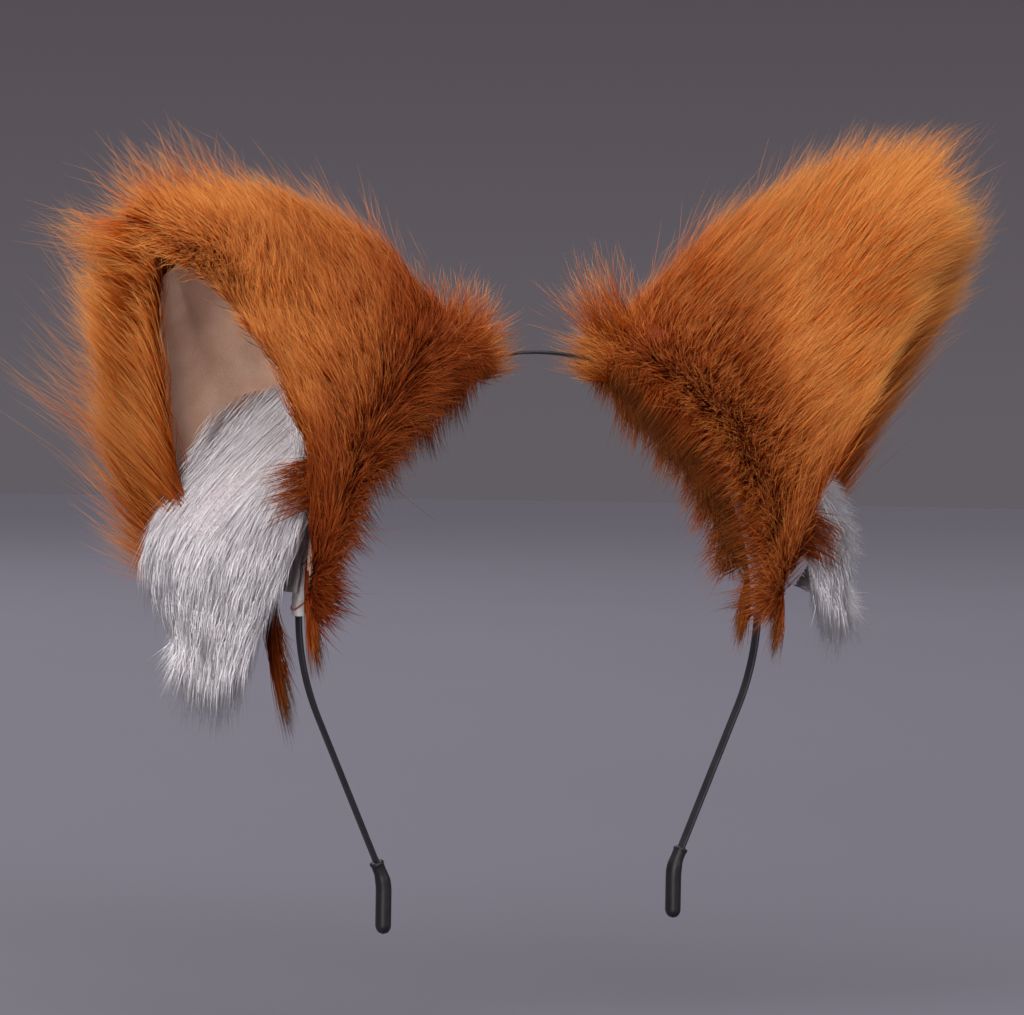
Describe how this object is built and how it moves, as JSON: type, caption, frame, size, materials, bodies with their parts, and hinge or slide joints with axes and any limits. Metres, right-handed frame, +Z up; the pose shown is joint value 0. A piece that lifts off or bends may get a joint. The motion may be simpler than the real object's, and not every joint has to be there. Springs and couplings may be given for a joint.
{
  "type": "animal ears headband",
  "caption": "Slim springy headband with two long-pile faux fur animal ears, velvet linings, white tufts and soft rubber ends.",
  "frame": {"origin": "centre of the band's crown arc, where the top of the wearer's head sits inside the band", "axes": "+X from the left ear in the front view to the right ear, +Y from the front of the head to the back, +Z up"},
  "size_m": [0.2508, 0.0693, 0.1964],
  "materials": {
    "band_coating": "black enamel on a springy strip, satin gloss",
    "black_rubber": "soft satin rubber",
    "sleeve_fabric": "white short-pile fabric tube",
    "thread": "russet sewing thread",
    "base_fabric": "undyed felt strip",
    "felt": "stiff pressed felt",
    "orange_fur": "long-pile faux fur, burnt orange at the root and pale gold at the tips",
    "velvet": "short-pile cream velvet",
    "white_fur": "long-pile white faux fur"
  },
  "bodies": {
    "crown": {"crown_strip": "band_coating"},
    "half_band_left": {"band_left": "band_coating", "tip_left": "black_rubber"},
    "sleeve_left": {"sleeve_left": "sleeve_fabric", "sleeve_stitches_left": "thread"},
    "ear_left": {"base_strip_left": "base_fabric", "felt_core_left": "felt", "fur_back_left": "orange_fur", "fur_front_left": "orange_fur", "velvet_liner_left": "velvet", "white_tuft_left": "white_fur"},
    "half_band_right": {"band_right": "band_coating", "tip_right": "black_rubber"},
    "sleeve_right": {"sleeve_right": "sleeve_fabric", "sleeve_stitches_right": "thread"},
    "ear_right": {"base_strip_right": "base_fabric", "felt_core_right": "felt", "fur_back_right": "orange_fur", "fur_front_right": "orange_fur", "velvet_liner_right": "velvet", "white_tuft_right": "white_fur"}
  },
  "joints": [
    {"name": "band_flex_left", "type": "hinge", "parent": "crown", "child": "half_band_left", "pos_m": [-0.01014, 0, 0.064], "axis": [0, 1, 0], "range_deg": [-3, 12], "stiffness_Nm_per_rad": 0.9},
    {"name": "ear_slide_left", "type": "hinge", "parent": "half_band_left", "child": "sleeve_left", "pos_m": [0, 0, 0], "axis": [0, -1, 0], "range_deg": [-5, 5]},
    {"name": "ear_tilt_left", "type": "hinge", "parent": "sleeve_left", "child": "ear_left", "pos_m": [-0.04662, 0, 0.0345], "axis": [0.5948, 0, 0.8039], "range_deg": [-6, 6], "stiffness_Nm_per_rad": 0.15},
    {"name": "band_flex_right", "type": "hinge", "parent": "crown", "child": "half_band_right", "pos_m": [0.01014, 0, 0.064], "axis": [0, -1, 0], "range_deg": [-3, 12], "stiffness_Nm_per_rad": 0.9},
    {"name": "ear_slide_right", "type": "hinge", "parent": "half_band_right", "child": "sleeve_right", "pos_m": [0, 0, 0], "axis": [0, 1, 0], "range_deg": [-5, 5]},
    {"name": "ear_tilt_right", "type": "hinge", "parent": "sleeve_right", "child": "ear_right", "pos_m": [0.04662, 0, 0.0345], "axis": [0.5948, 0, -0.8039], "range_deg": [-6, 6], "stiffness_Nm_per_rad": 0.15}
  ]
}
